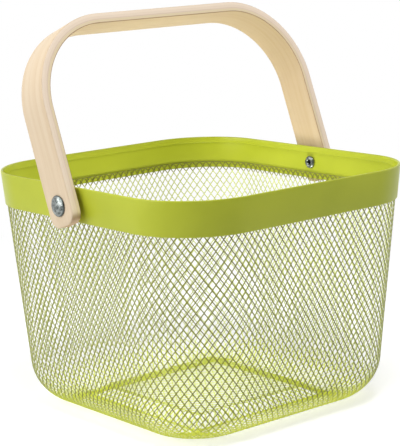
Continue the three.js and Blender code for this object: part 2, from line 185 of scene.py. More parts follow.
class StageSettings(bpy.types.PropertyGroup):
    """Camera, lamps and floor."""

    azimuth: angle("Azimuth", "Way round that the camera stands", -39.67)
    elevation: angle("Elevation", "Height of the camera above the horizon", 11.11)
    roll: angle("Roll", "Turn of the camera about its own axis", -2.0)
    distance: length("Distance", "From the camera to its target", 1.2467)
    target_height: length("Target height", "Height that the camera looks at", 0.138)
    lens: bpy.props.FloatProperty(
        name="Lens", description="Focal length in millimetres", default=130.1, min=1.0
    )
    sky: bpy.props.FloatProperty(
        name="Sky", description="Strength of the even light", default=0.39, min=0.0
    )
    dark_side: share("Dark side", "How much darker the room is behind the camera", 0.85)
    floor_colour: colour("Floor", "Colour of the floor", (0.9, 0.9, 0.9))
    fade_start: length("Fade start", "Where the floor starts to fade to plain white", 0.25)
    fade_end: length("Fade end", "Where the floor is plain white", 0.7)
    floor_drop: length("Floor drop", "How far the floor lies below the basket", 0.0002)
    bounce: share("Bounce", "Light that the far floor throws back", 0.55)
    floor_lift: share("Floor lift", "Brightening of the floor as the camera sees it", 0.35)


def mix(start, end, part):
    return start + (end - start) * part


def plan_point(body, turn, z, inset):
    """A point of the rounded plan outline at a height; turn runs once round from the middle of -Y."""
    rise = z / RIM_TOP.z
    past_fillet = max(inset - body.mesh_inset - body.bottom_fillet, 0.0)
    radius = mix(body.foot_corner, body.rim_corner, rise) - inset - past_fillet
    radius = max(radius, body.floor_corner)
    middle_x = mix(body.foot_width, body.rim_width, rise) / 2 - inset - radius
    middle_y = mix(body.foot_length, body.rim_length, rise) / 2 - inset - radius
    even = min(past_fillet / body.foot_ring, 1.0)
    side = mix(body.rim_width / 2 - body.rim_corner, middle_x, even)
    arc = math.pi / 2 * mix(body.rim_corner, radius, even)
    end = mix(body.rim_length / 2 - body.rim_corner, middle_y, even)
    quarters = turn % 1 * 4
    quarter = min(int(quarters), 3)
    along = (side + arc + end) * (quarter + 1 - quarters if quarter % 2 else quarters - quarter)
    if along <= side:
        x, y = middle_x * along / side, middle_y + radius
    elif along <= side + arc:
        bend = (along - side) / arc * math.pi / 2
        x, y = middle_x + radius * math.sin(bend), middle_y + radius * math.cos(bend)
    else:
        x, y = middle_x + radius, middle_y * (side + arc + end - along) / end
    return Vector((x if quarter < 2 else -x, y if quarter in (1, 2) else -y, z))


def ring_turns(body):
    """The turns of the band's stations: side middles and evenly along each corner."""
    side = body.rim_width / 2 - body.rim_corner
    arc = math.pi / 2 * body.rim_corner
    quarter_length = side + arc + body.rim_length / 2 - body.rim_corner
    steps = [arc * k / body.corner_steps for k in range(body.corner_steps + 1)]
    quarter = [0.0] + [(side + step) / quarter_length / 4 for step in steps]
    half = quarter + [0.25] + [0.5 - turn for turn in reversed(quarter[1:])]
    return half + [turn + 0.5 for turn in half]


def arc_points(centre_x, centre_y, radius, start, end, steps):
    """Points of an arc from one angle to another, in degrees."""
    angles = [math.radians(mix(start, end, k / steps)) for k in range(steps + 1)]
    return [(centre_x + radius * math.cos(a), centre_y + radius * math.sin(a)) for a in angles]


def start_ring(name, points, filled):
    """Adds a circle, lays its points out in order and stays in edit mode with all of it selected."""
    bpy.ops.object.select_all(action="DESELECT")
    bpy.ops.mesh.primitive_circle_add(vertices=len(points), fill_type="NGON" if filled else "NOTHING")
    piece = bpy.context.active_object
    piece.name = name
    piece.data.name = name
    for vertex, point in zip(piece.data.vertices, points):
        vertex.co = point
    bpy.ops.object.mode_set(mode="EDIT")
    bpy.ops.mesh.select_mode(type="VERT")
    bpy.ops.mesh.select_all(action="SELECT")
    return piece


def extrude_ring(piece, ring, points):
    """Extrudes the selected ring, moves the new points into place and returns their numbers."""
    bpy.ops.mesh.extrude_region()
    shape = bmesh.from_edit_mesh(piece.data)
    shape.verts.index_update()
    shape.verts.ensure_lookup_table()
    following = []
    for number, point in zip(ring, points):
        vertex = shape.verts[number]
        reached = [edge.other_vert(vertex) for edge in vertex.link_edges]
        new = next(other for other in reached if other.select)
        new.co = point
        following.append(new.index)
    bmesh.update_edit_mesh(piece.data)
    return following


def select_rings(piece, *rings):
    shape = bmesh.from_edit_mesh(piece.data)
    bpy.ops.mesh.select_all(action="DESELECT")
    shape.verts.ensure_lookup_table()
    for ring in rings:
        for number in ring:
            shape.verts[number].select = True
    shape.select_flush_mode()
    bmesh.update_edit_mesh(piece.data)


def sweep(name, rings, closed):
    """Extrudes a ring of points from station to station, and joins the ends where the path is closed."""
    piece = start_ring(name, rings[0], filled=not closed)
    first = list(range(len(rings[0])))
    last = first
    for points in rings[1:]:
        last = extrude_ring(piece, last, points)
    if closed:
        select_rings(piece, first, last)
        bpy.ops.mesh.bridge_edge_loops()
    close_up()
    return piece


def lathe(name, profile, axis_start, axis, steps, hollow):
    """Spins a profile once round an axis. A hollow piece has a closed profile."""
    piece = start_ring(name, profile, filled=False)
    if not hollow:
        select_rings(piece, [0, len(profile) - 1])
        bpy.ops.mesh.delete(type="EDGE")
    bpy.ops.mesh.select_all(action="SELECT")
    bpy.ops.mesh.spin(steps=steps, angle=2 * math.pi, center=axis_start, axis=axis)
    close_up()
    return piece


def close_up():
    """Merges doubled points, turns the faces outwards and leaves edit mode."""
    bpy.ops.mesh.select_all(action="SELECT")
    bpy.ops.mesh.remove_doubles(threshold=1e-6)
    bpy.ops.mesh.normals_make_consistent(inside=False)
    bpy.ops.object.mode_set(mode="OBJECT")


def apply_modifier(piece, name, kind, **settings):
    modifier = piece.modifiers.new(name, kind)
    for key, value in settings.items():
        setattr(modifier, key, value)
    bpy.context.view_layer.objects.active = piece
    bpy.ops.object.modifier_apply(modifier=name)


def drill(piece, handle, reach, centre):
    """Cuts the rivet holes through both sides along the pivot axis."""
    bpy.ops.object.select_all(action="DESELECT")
    bpy.ops.mesh.primitive_cylinder_add(
        vertices=handle.round_steps,
        radius=handle.hole / 2,
        depth=2 * reach,
        location=centre,
        rotation=(0, math.pi / 2, 0),
    )
    bit = bpy.context.active_object
    bpy.ops.object.transform_apply()
    apply_modifier(piece, "rivet_holes", "BOOLEAN", object=bit, operation="DIFFERENCE", solver="EXACT")
    bpy.data.objects.remove(bit)


def pick(piece):
    """Selects one object and makes it the active one."""
    bpy.ops.object.select_all(action="DESELECT")
    piece.select_set(True)
    bpy.context.view_layer.objects.active = piece


def smooth(piece, degrees):
    pick(piece)
    bpy.ops.object.shade_smooth_by_angle(angle=math.radians(degrees))


def seat(piece, material, slot, body, *nodes):
    """Gives a piece its finish, its body and the CAD nodes that it stands for."""
    piece.data.materials.clear()
    piece.data.materials.append(material)
    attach(piece, body)
    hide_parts(*nodes)


def turned_copy(piece, name):
    """A copy of a piece with its own mesh, turned half way round to the other side of the basket."""
    pick(piece)
    bpy.ops.object.duplicate(linked=False)
    copy = bpy.context.active_object
    copy.name = name
    copy.data.name = name
    bpy.ops.transform.rotate(value=math.pi, orient_axis="Z", center_override=(0, 0, 0))
    bpy.ops.object.transform_apply()
    return copy


def seat_pair(left, name, material, slot, node):
    """Copies a piece to the other side, and seats both on the basket."""
    right = turned_copy(left, f"{name}_right")
    seat(left, material, slot, "basket", f"{node}_left")
    seat(right, material, slot, "basket", f"{node}_right")


def add_node(tree, kind, inputs=None, **settings):
    """Adds a node, sets its options, and sets or links its inputs."""
    node = tree.nodes.new(kind)
    for key, value in settings.items():
        setattr(node, key, value)
    for key, value in (inputs or {}).items():
        if isinstance(value, bpy.types.NodeSocket):
            tree.links.new(value, node.inputs[key])
        else:
            node.inputs[key].default_value = value
    return node


def calculate(tree, operation, *values, clamp=False):
    inputs = dict(enumerate(values))
    return add_node(tree, "ShaderNodeMath", inputs, operation=operation, use_clamp=clamp).outputs[0]


def vector_node(tree, operation, *values):
    return add_node(tree, "ShaderNodeVectorMath", dict(enumerate(values)), operation=operation)


def blend_colours(tree, part, first, second, way="MIX"):
    """Mixes two colours. A mix node keeps its colour sockets at 6 and 7, and gives the result at 2."""
    sockets = {0: part, 6: first, 7: second}
    return add_node(tree, "ShaderNodeMix", sockets, data_type="RGBA", blend_type=way).outputs[2]


def spread(tree, value, low, high, new_low=0.0, new_high=1.0):
    """Maps a value from one range smoothly to another."""
    limits = {"Value": value, 1: low, 2: high, 3: new_low, 4: new_high}
    return add_node(tree, "ShaderNodeMapRange", limits, interpolation_type="SMOOTHSTEP").outputs[0]


def noise(tree, vector, scale, detail, rough=0.5):
    inputs = {"Vector": vector, "Scale": scale, "Detail": detail, "Roughness": rough}
    return add_node(tree, "ShaderNodeTexNoise", inputs).outputs["Fac"]


def new_group(name, inputs, outputs):
    """An empty node group and its inputs' end. A socket's kind follows its value: number or colour."""
    group = bpy.data.node_groups.new(name, "ShaderNodeTree")
    for way, sockets in (("INPUT", inputs), ("OUTPUT", outputs)):
        for socket, value in sockets.items():
            kind = "NodeSocketFloat" if isinstance(value, float) else "NodeSocketColor"
            group.interface.new_socket(socket, in_out=way, socket_type=kind).default_value = value
    return group, add_node(group, "NodeGroupInput").outputs


def handling_group():
    """Faint smudges of handling: where they lie, and a little unevenness of gloss."""
    name = "handling_marks"
    if name in bpy.data.node_groups:
        return bpy.data.node_groups[name]
    inputs = {"Scale": 20.0, "Roughness": 0.4, "Unevenness": 0.1}
    group, source = new_group(name, inputs, {"Mask": 0.0, "Roughness": 0.0})
    place = add_node(group, "ShaderNodeTexCoord").outputs["Object"]
    cloud = noise(group, place, source["Scale"], 4.0, 0.6)
    mask = spread(group, cloud, 0.42, 0.72)
    around = calculate(group, "SUBTRACT", mask, 0.5)
    shift = calculate(group, "MULTIPLY", around, source["Unevenness"])
    rough = calculate(group, "ADD", source["Roughness"], shift, clamp=True)
    add_node(group, "NodeGroupOutput", {"Mask": mask, "Roughness": rough})
    return group


def coat_group():
    """Powder coat: slow changes of tone, and the fine peel of the sprayed surface."""
    name = "powder_coat"
    if name in bpy.data.node_groups:
        return bpy.data.node_groups[name]
    inputs = {"Paint": (1, 1, 1, 1), "Shade": (0, 0, 0, 1), "Peel scale": 900.0}
    group, source = new_group(name, inputs, {"Colour": (0, 0, 0, 1), "Height": 0.0})
    place = add_node(group, "ShaderNodeTexCoord").outputs["Object"]
    tone = spread(group, noise(group, place, 18.0, 3.0), 0.3, 0.75)
    specks = spread(group, noise(group, place, 2600.0, 1.0), 0.55, 0.8, 0.0, 0.5)
    part = calculate(group, "ADD", tone, specks, clamp=True)
    paint = blend_colours(group, part, source["Paint"], source["Shade"])
    peel = noise(group, place, source["Peel scale"], 2.0)
    add_node(group, "NodeGroupOutput", {"Colour": paint, "Height": peel})
    return group


def new_material(name):
    material = bpy.data.materials.new(name)
    material.use_nodes = True
    material.node_tree.nodes.clear()
    return material, material.node_tree


def finish_material(tree, colour_socket, rough_socket, height_socket, bump, **constants):
    """A Principled surface from the varying sockets, with the rest set on its own sockets."""
    relief = add_node(tree, "ShaderNodeBump", {"Height": height_socket, **bump})
    inputs = {"Base Color": colour_socket, "Roughness": rough_socket, "Normal": relief.outputs[0]}
    inputs.update({key.replace("_", " "): value for key, value in constants.items()})
    surface = add_node(tree, "ShaderNodeBsdfPrincipled", inputs)
    add_node(tree, "ShaderNodeOutputMaterial", {"Surface": surface.outputs[0]})


def add_group(tree, group, inputs):
    return add_node(tree, "ShaderNodeGroup", inputs, node_tree=group).outputs


def finish_paint(tree, paint, shade, rough, peel_scale, bump):
    """Powder coat of two tones."""
    coat = add_group(tree, coat_group(), {"Paint": paint, "Shade": shade, "Peel scale": peel_scale})
    marks = add_group(tree, handling_group(), {"Scale": 14.0, "Roughness": rough, "Unevenness": 0.1})
    relief = {"Strength": bump, "Distance": 0.0004}
    finish_material(
        tree, coat["Colour"], marks["Roughness"], coat["Height"], relief, Specular_IOR_Level=0.3
    )


def band_material(finishes):
    material, tree = new_material("lime_band")
    finish_paint(tree, finishes.lime, finishes.lime_shade, 0.36, 700.0, 0.06)
    return material


# Heights between which the floor's painted light gives way to the walls' colours.
FLOOR_LIGHT = (0.004, 0.022)
# How far below the band the painted shade of the mesh's lap behind the band reaches.
LAP_SHADE = 0.004


def mesh_material(finishes):
    """Powder coat on the strands with light and shade painted in: painted shade on the outside of the
    walls and where the mesh laps behind the band, painted light on their inside and on the floor.
    """
    if "strand_coat" in bpy.data.materials:
        return bpy.data.materials["strand_coat"]
    material, tree = new_material("strand_coat")
    # The outer skin takes the painted shade, the inner skin the painted light.
    outside = add_node(tree, "ShaderNodeAttribute", attribute_name="outside").outputs["Fac"]
    place = add_node(tree, "ShaderNodeTexCoord").outputs["Object"]
    height = add_node(tree, "ShaderNodeSeparateXYZ", {0: place}).outputs["Z"]
    # Painted shade: the mesh is darker where it laps behind the band and just below it.
    lap = spread(tree, height, RIM_LOW.z - LAP_SHADE, RIM_LOW.z)
    dark = calculate(tree, "MAXIMUM", outside, lap)
    side = blend_colours(tree, dark, finishes.mesh_inside_light, finishes.mesh_outside_shade)
    # Painted light on the floor of the mesh.
    paint = blend_colours(tree, spread(tree, height, *FLOOR_LIGHT), finishes.mesh_floor_light, side)
    shade = blend_colours(tree, 1.0, paint, (0.86, 0.87, 0.8, 1.0), "MULTIPLY")
    finish_paint(tree, paint, shade, 0.42, 1200.0, 0.04)
    return material


# Strength of the yellow ply and of the glue lines through the strap, from its inside to its outside.
PALE_PLY = [(0.0, 0.0), (0.06, 0.0), (0.12, 0.7), (0.3, 0.8), (0.36, 0.0)]
GLUE_LINES = [(0.0, 0.0), (0.015, 0.0), (0.035, 0.8), (0.08, 0.8), (0.11, 0.0), (0.33, 0.04)]
GLUE_LINES += [(0.37, 0.25), (0.41, 0.25), (0.46, 0.08), (0.62, 0.04), (0.65, 0.16), (0.68, 0.0)]
GLUE_LINES += [(0.88, 0.0), (0.9, 0.12), (0.92, 0.0)]


def layered(tree, layer, stops):
    """A strength that changes from layer to layer of the plywood."""
    node = add_node(tree, "ShaderNodeValToRGB", {0: layer})
    elements = node.color_ramp.elements
    elements[0].position, elements[1].position = stops[0][0], stops[-1][0]
    for position, _ in stops[1:-1]:
        elements.new(position)
    for element, (_, strength) in zip(elements, stops):
        element.color = (strength, strength, strength, 1.0)
    return node.outputs["Color"]


def birch_material(finishes, handle):
    """Birch ply: grain along the strap, glue lines on its edges and brown end grain at its ends."""
    material, tree = new_material("birch_ply")
    strap = add_node(tree, "ShaderNodeAttribute", attribute_name="strap")
    axes = add_node(tree, "ShaderNodeSeparateXYZ", {0: strap.outputs["Vector"]})
    along, depth = axes.outputs[0], axes.outputs[2]

    def stretched(*scales):
        return vector_node(tree, "MULTIPLY", strap.outputs["Vector"], scales).outputs[0]

    streaks = spread(tree, noise(tree, stretched(9.0, 260.0, 420.0), 1.0, 5.0, 0.62), 0.38, 0.72)
    figure = spread(tree, noise(tree, stretched(4.0, 42.0, 60.0), 1.0, 3.0), 0.3, 0.75)
    flecks = spread(tree, noise(tree, stretched(160.0, 1500.0, 1500.0), 1.0, 1.0), 0.64, 0.74)
    grain = calculate(tree, "MULTIPLY_ADD", streaks, 0.42, calculate(tree, "MULTIPLY", figure, 0.38))
    grain = calculate(tree, "MULTIPLY_ADD", flecks, 0.28, grain, clamp=True)
    wood = blend_colours(tree, grain, finishes.birch, finishes.birch_grain)

    from_face = calculate(tree, "MINIMUM", depth, calculate(tree, "SUBTRACT", handle.thickness, depth))
    on_edge = spread(tree, from_face, 0.0002, 0.0008)
    # Pale plies on the edges, lightened further as painted light.
    pale = calculate(tree, "MULTIPLY", on_edge, 0.9)
    wood = blend_colours(tree, pale, wood, finishes.core_ply_and_light)
    layer = calculate(tree, "DIVIDE", depth, handle.thickness)
    # Painted shade on the strap's inner face.
    inner = spread(tree, layer, 0.01, 0.03, 1.0, 0.0)
    wood = blend_colours(tree, inner, wood, finishes.birch_inside_shade, "MULTIPLY")
    wood = blend_colours(tree, layered(tree, layer, PALE_PLY), wood, finishes.pale_ply)
    wood = blend_colours(tree, layered(tree, layer, GLUE_LINES), wood, finishes.ply_line)

    reach = calculate(tree, "SUBTRACT", strap_runs(handle)[3], along)
    to_end = calculate(tree, "MINIMUM", along, reach)
    near_end = spread(tree, to_end, 0.0025, 0.008, 1.0, 0.0)
    cut = calculate(tree, "MULTIPLY", calculate(tree, "MULTIPLY", near_end, on_edge), 0.8)
    wood = blend_colours(tree, cut, wood, finishes.end_grain)

    marks = add_group(tree, handling_group(), {"Scale": 24.0, "Roughness": 0.6, "Unevenness": 0.12})
    relief = {"Strength": 0.18, "Distance": 0.0002}
    finish_material(tree, wood, marks["Roughness"], grain, relief, Specular_IOR_Level=0.18)
    return material


def metal_material(name, bright, dark_tone, edge, rough, bump, scale, **constants):
    """A mottled surface, darker towards its edge as painted shade, with uneven gloss and small dents.
    The dark mottle is painted reflection on the rivets and rubbed wear on the spacers.
    """
    material, tree = new_material(name)
    place = add_node(tree, "ShaderNodeTexCoord").outputs["Object"]
    # Dark patches: painted reflection on the rivets, rubbed wear on the spacers.
    patches_and_rim_shade = spread(tree, noise(tree, place, scale, 5.0, 0.6), 0.36, 0.66)
    from_pivot = vector_node(tree, "SUBTRACT", place, PIVOT).outputs[0]
    across = vector_node(tree, "MULTIPLY", from_pivot, (0, 1, 1)).outputs[0]
    radius = vector_node(tree, "LENGTH", across).outputs["Value"]
    # Painted shade: darker towards the rim.
    patches_and_rim_shade = calculate(tree, "MAXIMUM", patches_and_rim_shade, spread(tree, radius, edge * 0.8, edge))
    tone = blend_colours(tree, patches_and_rim_shade, bright, dark_tone)
    gloss = {"Scale": scale * 0.7, "Roughness": rough, "Unevenness": 0.22}
    marks = add_group(tree, handling_group(), gloss)
    dents = noise(tree, place, scale * 0.6, 2.0)
    relief = {"Strength": bump, "Distance": 0.0006}
    finish_material(tree, tone, marks["Roughness"], dents, relief, **constants)
    return material


def band_section(body):
    """The band's section as (inset, height) pairs: round the fold at the top and the cut edges."""
    sheet, edge = body.band_sheet, body.band_edge
    low, top = RIM_LOW.z, RIM_TOP.z
    section = arc_points(edge, low + edge, edge, 270, 180, 3)
    section += arc_points(sheet, top - sheet, sheet, 180, 0, 10)
    section += arc_points(2 * sheet - edge, top - body.hem + edge, edge, 0, -90, 3)
    section += [(sheet + edge, top - body.hem), (sheet, top - body.hem + edge * 0.2)]
    section += [(sheet, top - body.hem - edge)]
    section += arc_points(sheet - edge, low + edge, edge, 0, -90, 3)
    return section


class BASKET_OT_rim_band(bpy.types.Operator):
    """Sweeps the hemmed section of the band round the rim and drills it for the rivets"""

    bl_idname = "basket.rim_band"
    bl_label = "Rim band"

    def execute(self, context):
        body, handle = context.scene.basket_body, context.scene.basket_handle
        section = band_section(body)
        rings = [[plan_point(body, turn, z, inset) for inset, z in section] for turn in ring_turns(body)]
        band = sweep("hemmed_rim_band", rings, closed=True)
        drill(band, handle, body.rim_width, PIVOT)
        smooth(band, 40)
        seat(band, band_material(context.scene.basket_finishes), "lime_paint", "basket", "rim_band")
        return {"FINISHED"}


def mesh_rows(body):
    """Number of half rows down to each change of the mesh's section."""
    rows = [body.wall_rows, body.fillet_rows, body.foot_rows, body.step_rows, body.flange_rows]
    return [sum(rows[: k + 1]) for k in range(len(rows))]


def mesh_section(body, row):
    """Inset and height of the mesh's outside at a row, counted down from its top edge."""
    fillet = body.bottom_fillet
    wall_end, fillet_end, *floor_ends = mesh_rows(body)
    if row <= wall_end:
        return 0.0, mix(RIM_LOW.z + body.mesh_lap, fillet, row / wall_end)
    if row <= fillet_end:
        bend = (row - wall_end) / (fillet_end - wall_end) * math.pi / 2
        return fillet * (1 - math.cos(bend)), fillet * (1 - math.sin(bend))
    step_start = fillet + body.foot_ring
    step_end = step_start + body.floor_step
    line = [(fillet, 0.0), (step_start, 0.0), (step_end, body.floor_rise)]
    line.append((step_end + body.floor_flange, body.floor_rise))
    starts = [fillet_end, *floor_ends[:-1]]
    for start, end, near, far in zip(starts, floor_ends, line, line[1:]):
        if row <= end:
            break
    part = (row - start) / (end - start)
    return mix(near[0], far[0], part), mix(near[1], far[1], part)


def mesh_point(body, turn, row, depth=0.0):
    """A point of the mesh at a turn, a row and a depth in from its outside."""
    inset, z = mesh_section(body, row)
    near, far = (Vector(mesh_section(body, row + step)) for step in (-0.01, 0.01))
    run = (far - near).normalized()
    return plan_point(body, turn, z + depth * run.x, body.mesh_inset + inset - depth * run.y)


def mesh_skin(body, columns, first, last):
    """Points and faces of the mesh's outside: nodes and strands round the gaps from row to row."""
    points, faces, gaps = [], [], {}

    def point(column, row, twist=0.0):
        return mesh_point(body, column / columns, row, twist * body.strand_twist)

    def vertex(column, row, twist):
        points.append(point(column, row, twist))
        return len(points) - 1

    def open_share(column, row):
        above, below = max(row - 1, first), min(row + 1, last)
        width = (point(column - 0.5, row) - point(column + 0.5, row)).length
        height = (point(column, above) - point(column, below)).length * 2 / (below - above)
        return 1 - body.strand_width * math.hypot(width, height) / (width * height)

    for row in range(first, last + 1):
        border = row in (first, last)
        inner = row + 1 if row == first else row - 1
        edge = body.strand_width / (point(0, row) - point(0, inner)).length if border else 0.0
        level = row + edge if row == first else row - edge
        gaps[row] = []
        for k in range(columns):
            column = k + (row + 1) % 2 / 2
            opened = open_share(column, row)
            reach = (opened - edge) / 2
            gap = {"left": vertex(column - reach, level, 0.5)}
            gap["right"] = vertex(column + reach, level, 0.5)
            if row > first:
                gap["top"] = vertex(column, row - opened + body.strand_bond, 1.0)
            if row < last:
                gap["bottom"] = vertex(column, row + opened - body.strand_bond, 0.0)
            if border:
                gap["edge_left"] = vertex(column - reach, row, 0.5)
                gap["edge_right"] = vertex(column + reach, row, 0.5)
            gaps[row].append(gap)

    def gap_at(row, k):
        return gaps[row][k % columns]

    for row in range(first, last + 1):
        even = row % 2 == 0
        for k in range(columns):
            gap = gap_at(row, k)
            left, right = gap_at(row, k - 1 if even else k), gap_at(row, k if even else k + 1)
            if row == first:
                tip = gap_at(row + 1, k)["top"]
                faces.append((left["edge_right"], left["right"], tip, right["left"], right["edge_left"]))
                faces.append((gap["edge_left"], gap["left"], gap["right"], gap["edge_right"]))
            elif row == last:
                tip = gap_at(row - 1, k)["bottom"]
                faces.append((tip, left["right"], left["edge_right"], right["edge_left"], right["left"]))
                faces.append((gap["left"], gap["edge_left"], gap["edge_right"], gap["right"]))
            else:
                above, below = gap_at(row - 1, k)["bottom"], gap_at(row + 1, k)["top"]
                faces.append((above, left["right"], below, right["left"]))
            if row < last:
                lower_right = gap_at(row + 1, k + 1 if even else k)
                lower_left = gap_at(row + 1, k if even else k - 1)
                faces.append((gap["right"], gap["bottom"], lower_right["left"], lower_right["top"]))
                faces.append((gap["left"], lower_left["top"], lower_left["right"], gap["bottom"]))
    return points, faces


class BASKET_OT_mesh_body(bpy.types.Operator):
    """Lays out every diamond of the expanded mesh on the drawn body and gives the strands their depth"""

    bl_idname = "basket.mesh_body"
    bl_label = "Mesh body"

    def execute(self, context):
        body = context.scene.basket_body
        seam, end = mesh_rows(body)[2], mesh_rows(body)[-1]
        points, faces = mesh_skin(body, body.columns, 0, seam)
        floor_points, floor_faces = mesh_skin(body, body.floor_columns, seam, end)
        faces += [[number + len(points) for number in face] for face in floor_faces]
        points += floor_points
        net = bpy.data.meshes.new("diamond_mesh_body")
        net.from_pydata(points, [], faces)
        piece = bpy.data.objects.new("diamond_mesh_body", net)
        context.scene.collection.objects.link(piece)
        apply_modifier(piece, "strands", "SOLIDIFY", thickness=body.strand_depth, offset=-1.0)
        # Marks the outer skin, which takes the mesh's painted shade.
        outside = piece.data.attributes.new("outside", "FLOAT", "POINT")
        for number, mark in enumerate(outside.data):
            mark.value = 1.0 if number < len(points) else 0.0
        smooth(piece, 180)
        seat(piece, mesh_material(context.scene.basket_finishes), "lime_mesh", "basket", "mesh_body")
        return {"FINISHED"}


class BASKET_OT_floor_panel(bpy.types.Operator):
    """Pokes a grid into diamonds, trims its corners and turns its edges into strands"""

    bl_idname = "basket.floor_panel"
    bl_label = "Floor panel"

    def execute(self, context):
        body = context.scene.basket_body
        wide, long = PANEL_TOP.x - PANEL_LOW.x, PANEL_TOP.y - PANEL_LOW.y
        trim = body.strand_width
        columns, rows = round(wide / body.gap_width), round(long / body.gap_length)
        height = PANEL_LOW.z + body.strand_width / 2
        bpy.ops.object.select_all(action="DESELECT")
        bpy.ops.mesh.primitive_grid_add(
            x_subdivisions=columns, y_subdivisions=rows, size=1, location=(0, 0, height)
        )
        panel = context.active_object
        panel.name = panel.data.name = "floor_mesh_panel"
        panel.scale = (wide - trim, long - trim, 1)
        bpy.ops.object.transform_apply()
        corners = len(panel.data.vertices)
        bpy.ops.object.mode_set(mode="EDIT")
        bpy.ops.mesh.select_all(action="SELECT")
        bpy.ops.mesh.poke()
        bpy.ops.mesh.select_mode(type="EDGE")
        shape = bmesh.from_edit_mesh(panel.data)
        bpy.ops.mesh.select_all(action="DESELECT")
        shape.verts.index_update()
        for edge in shape.edges:
            edge.select = not edge.is_boundary and all(vertex.index < corners for vertex in edge.verts)
        bmesh.update_edit_mesh(panel.data)
        bpy.ops.mesh.dissolve_edges(use_verts=False)
        cut = body.floor_corner * (2 - math.sqrt(2))
        for x, y in ((1, 1), (-1, 1), (-1, -1), (1, -1)):
            bpy.ops.mesh.select_all(action="SELECT")
            at = (x * (wide / 2 - cut / 2), y * (long / 2 - cut / 2), height)
            bpy.ops.mesh.bisect(plane_co=at, plane_no=(x, y, 0), clear_outer=True)
        bpy.ops.object.mode_set(mode="OBJECT")
        wires = {"thickness": body.strand_width, "use_boundary": True, "use_even_offset": True}
        apply_modifier(panel, "strands", "WIREFRAME", **wires)
        smooth(panel, 180)
        seat(panel, mesh_material(context.scene.basket_finishes), "lime_mesh", "basket", "floor_panel")
        return {"FINISHED"}


def strap_runs(handle):
    """Half the strap's inner width, and the lengths of a leg, of a bend and of the whole inner face."""
    half = STRAP_TOP.x - handle.thickness
    leg = handle.end + handle.rise - handle.corner
    bend = math.pi / 2 * handle.corner
    return half, leg, bend, 2 * (leg + bend + half - handle.corner)


def strap_place(handle, along):
    """Point on the strap's inner face and its outward direction, in the plane of the arch."""
    half, leg, bend, whole = strap_runs(handle)
    if along > whole / 2:
        point, out = strap_place(handle, whole - along)
        return Vector((-point.x, 0, point.z)), Vector((-out.x, 0, out.z))
    if along <= leg:
        return Vector((-half, 0, along - handle.end)), Vector((-1, 0, 0))
    if along <= leg + bend:
        turn = (along - leg) / handle.corner
        out = Vector((-math.cos(turn), 0, math.sin(turn)))
        return Vector((handle.corner - half, 0, handle.rise - handle.corner)) + out * handle.corner, out
    return Vector((handle.corner - half + along - leg - bend, 0, handle.rise)), Vector((0, 0, 1))


def strap_coordinates(handle, point):
    """How far along, across and deep a point lies in the strap, for the run of the grain."""
    half, leg, bend, whole = strap_runs(handle)
    x, z = -abs(point.x), point.z
    low, side = handle.rise - handle.corner, handle.corner - half
    if z <= low:
        along, depth = z + handle.end, -x - half
    elif x >= side:
        along, depth = leg + bend + x - side, z - handle.rise
    else:
        turn = math.atan2(z - low, side - x)
        along, depth = leg + turn * handle.corner, math.hypot(z - low, side - x) - handle.corner
    return whole - along if point.x > 0 else along, point.y, depth


def strap_stations(handle):
    """Distances along the strap at which its section is drawn: close at the ends and in the bends."""
    _, leg, bend, whole = strap_runs(handle)
    ease, corner = handle.ease, handle.end_corner
    start = [ease * (1 - math.cos(math.pi / 2 * k / 4)) for k in range(5)]
    start += [corner * (1 - math.cos(math.pi / 2 * k / 12)) for k in range(5, 13)]
    start += [mix(corner, leg, k / 8) for k in range(1, 9)]
    start += [leg + bend * k / handle.corner_steps for k in range(1, handle.corner_steps + 1)]
    middle = [mix(start[-1], whole - start[-1], k / 12) for k in range(1, 12)]
    return start + middle + [whole - along for along in reversed(start)]


def strap_ring(handle, along):
    """The strap's rounded section at a distance along it, drawn in towards the rounded ends."""
    to_end = min(along, strap_runs(handle)[3] - along)
    half, ease, corner = handle.width / 2, handle.ease, handle.end_corner
    if to_end < corner:
        half -= corner - math.sqrt(corner**2 - (corner - to_end) ** 2)
    inset = ease - math.sqrt(max(ease**2 - (ease - to_end) ** 2, 0.0)) if to_end < ease else 0.0
    wide, deep = half - inset - ease, handle.thickness - inset
    section = arc_points(wide, deep - ease, ease, 0, 90, 4)
    section += arc_points(-wide, deep - ease, ease, 90, 180, 4)
    section += arc_points(-wide, inset + ease, ease, 180, 270, 4)
    section += arc_points(wide, inset + ease, ease, 270, 360, 4)
    point, out = strap_place(handle, along)
    return [point + out * depth + Vector((0, across, 0)) for across, depth in section]


class BASKET_OT_handle(bpy.types.Operator):
    """Sweeps the plywood strap along its arch, drills it and leans it back on its rivets"""

    bl_idname = "basket.handle"
    bl_label = "Handle"

    def execute(self, context):
        handle = context.scene.basket_handle
        rings = [strap_ring(handle, along) for along in strap_stations(handle)]
        strap = sweep("bent_ply_handle", rings, closed=False)
        drill(strap, handle, STRAP_TOP.x * 1.2, (0, 0, 0))
        grain = strap.data.attributes.new("strap", "FLOAT_VECTOR", "POINT")
        for value, vertex in zip(grain.data, strap.data.vertices):
            value.vector = strap_coordinates(handle, vertex.co)
        smooth(strap, 35)
        strap.location = PIVOT
        strap.rotation_euler = (-handle.lean, 0, 0)
        bpy.ops.object.transform_apply()
        seat(strap, birch_material(context.scene.basket_finishes, handle), "birch", "handle", "handle")
        return {"FINISHED"}


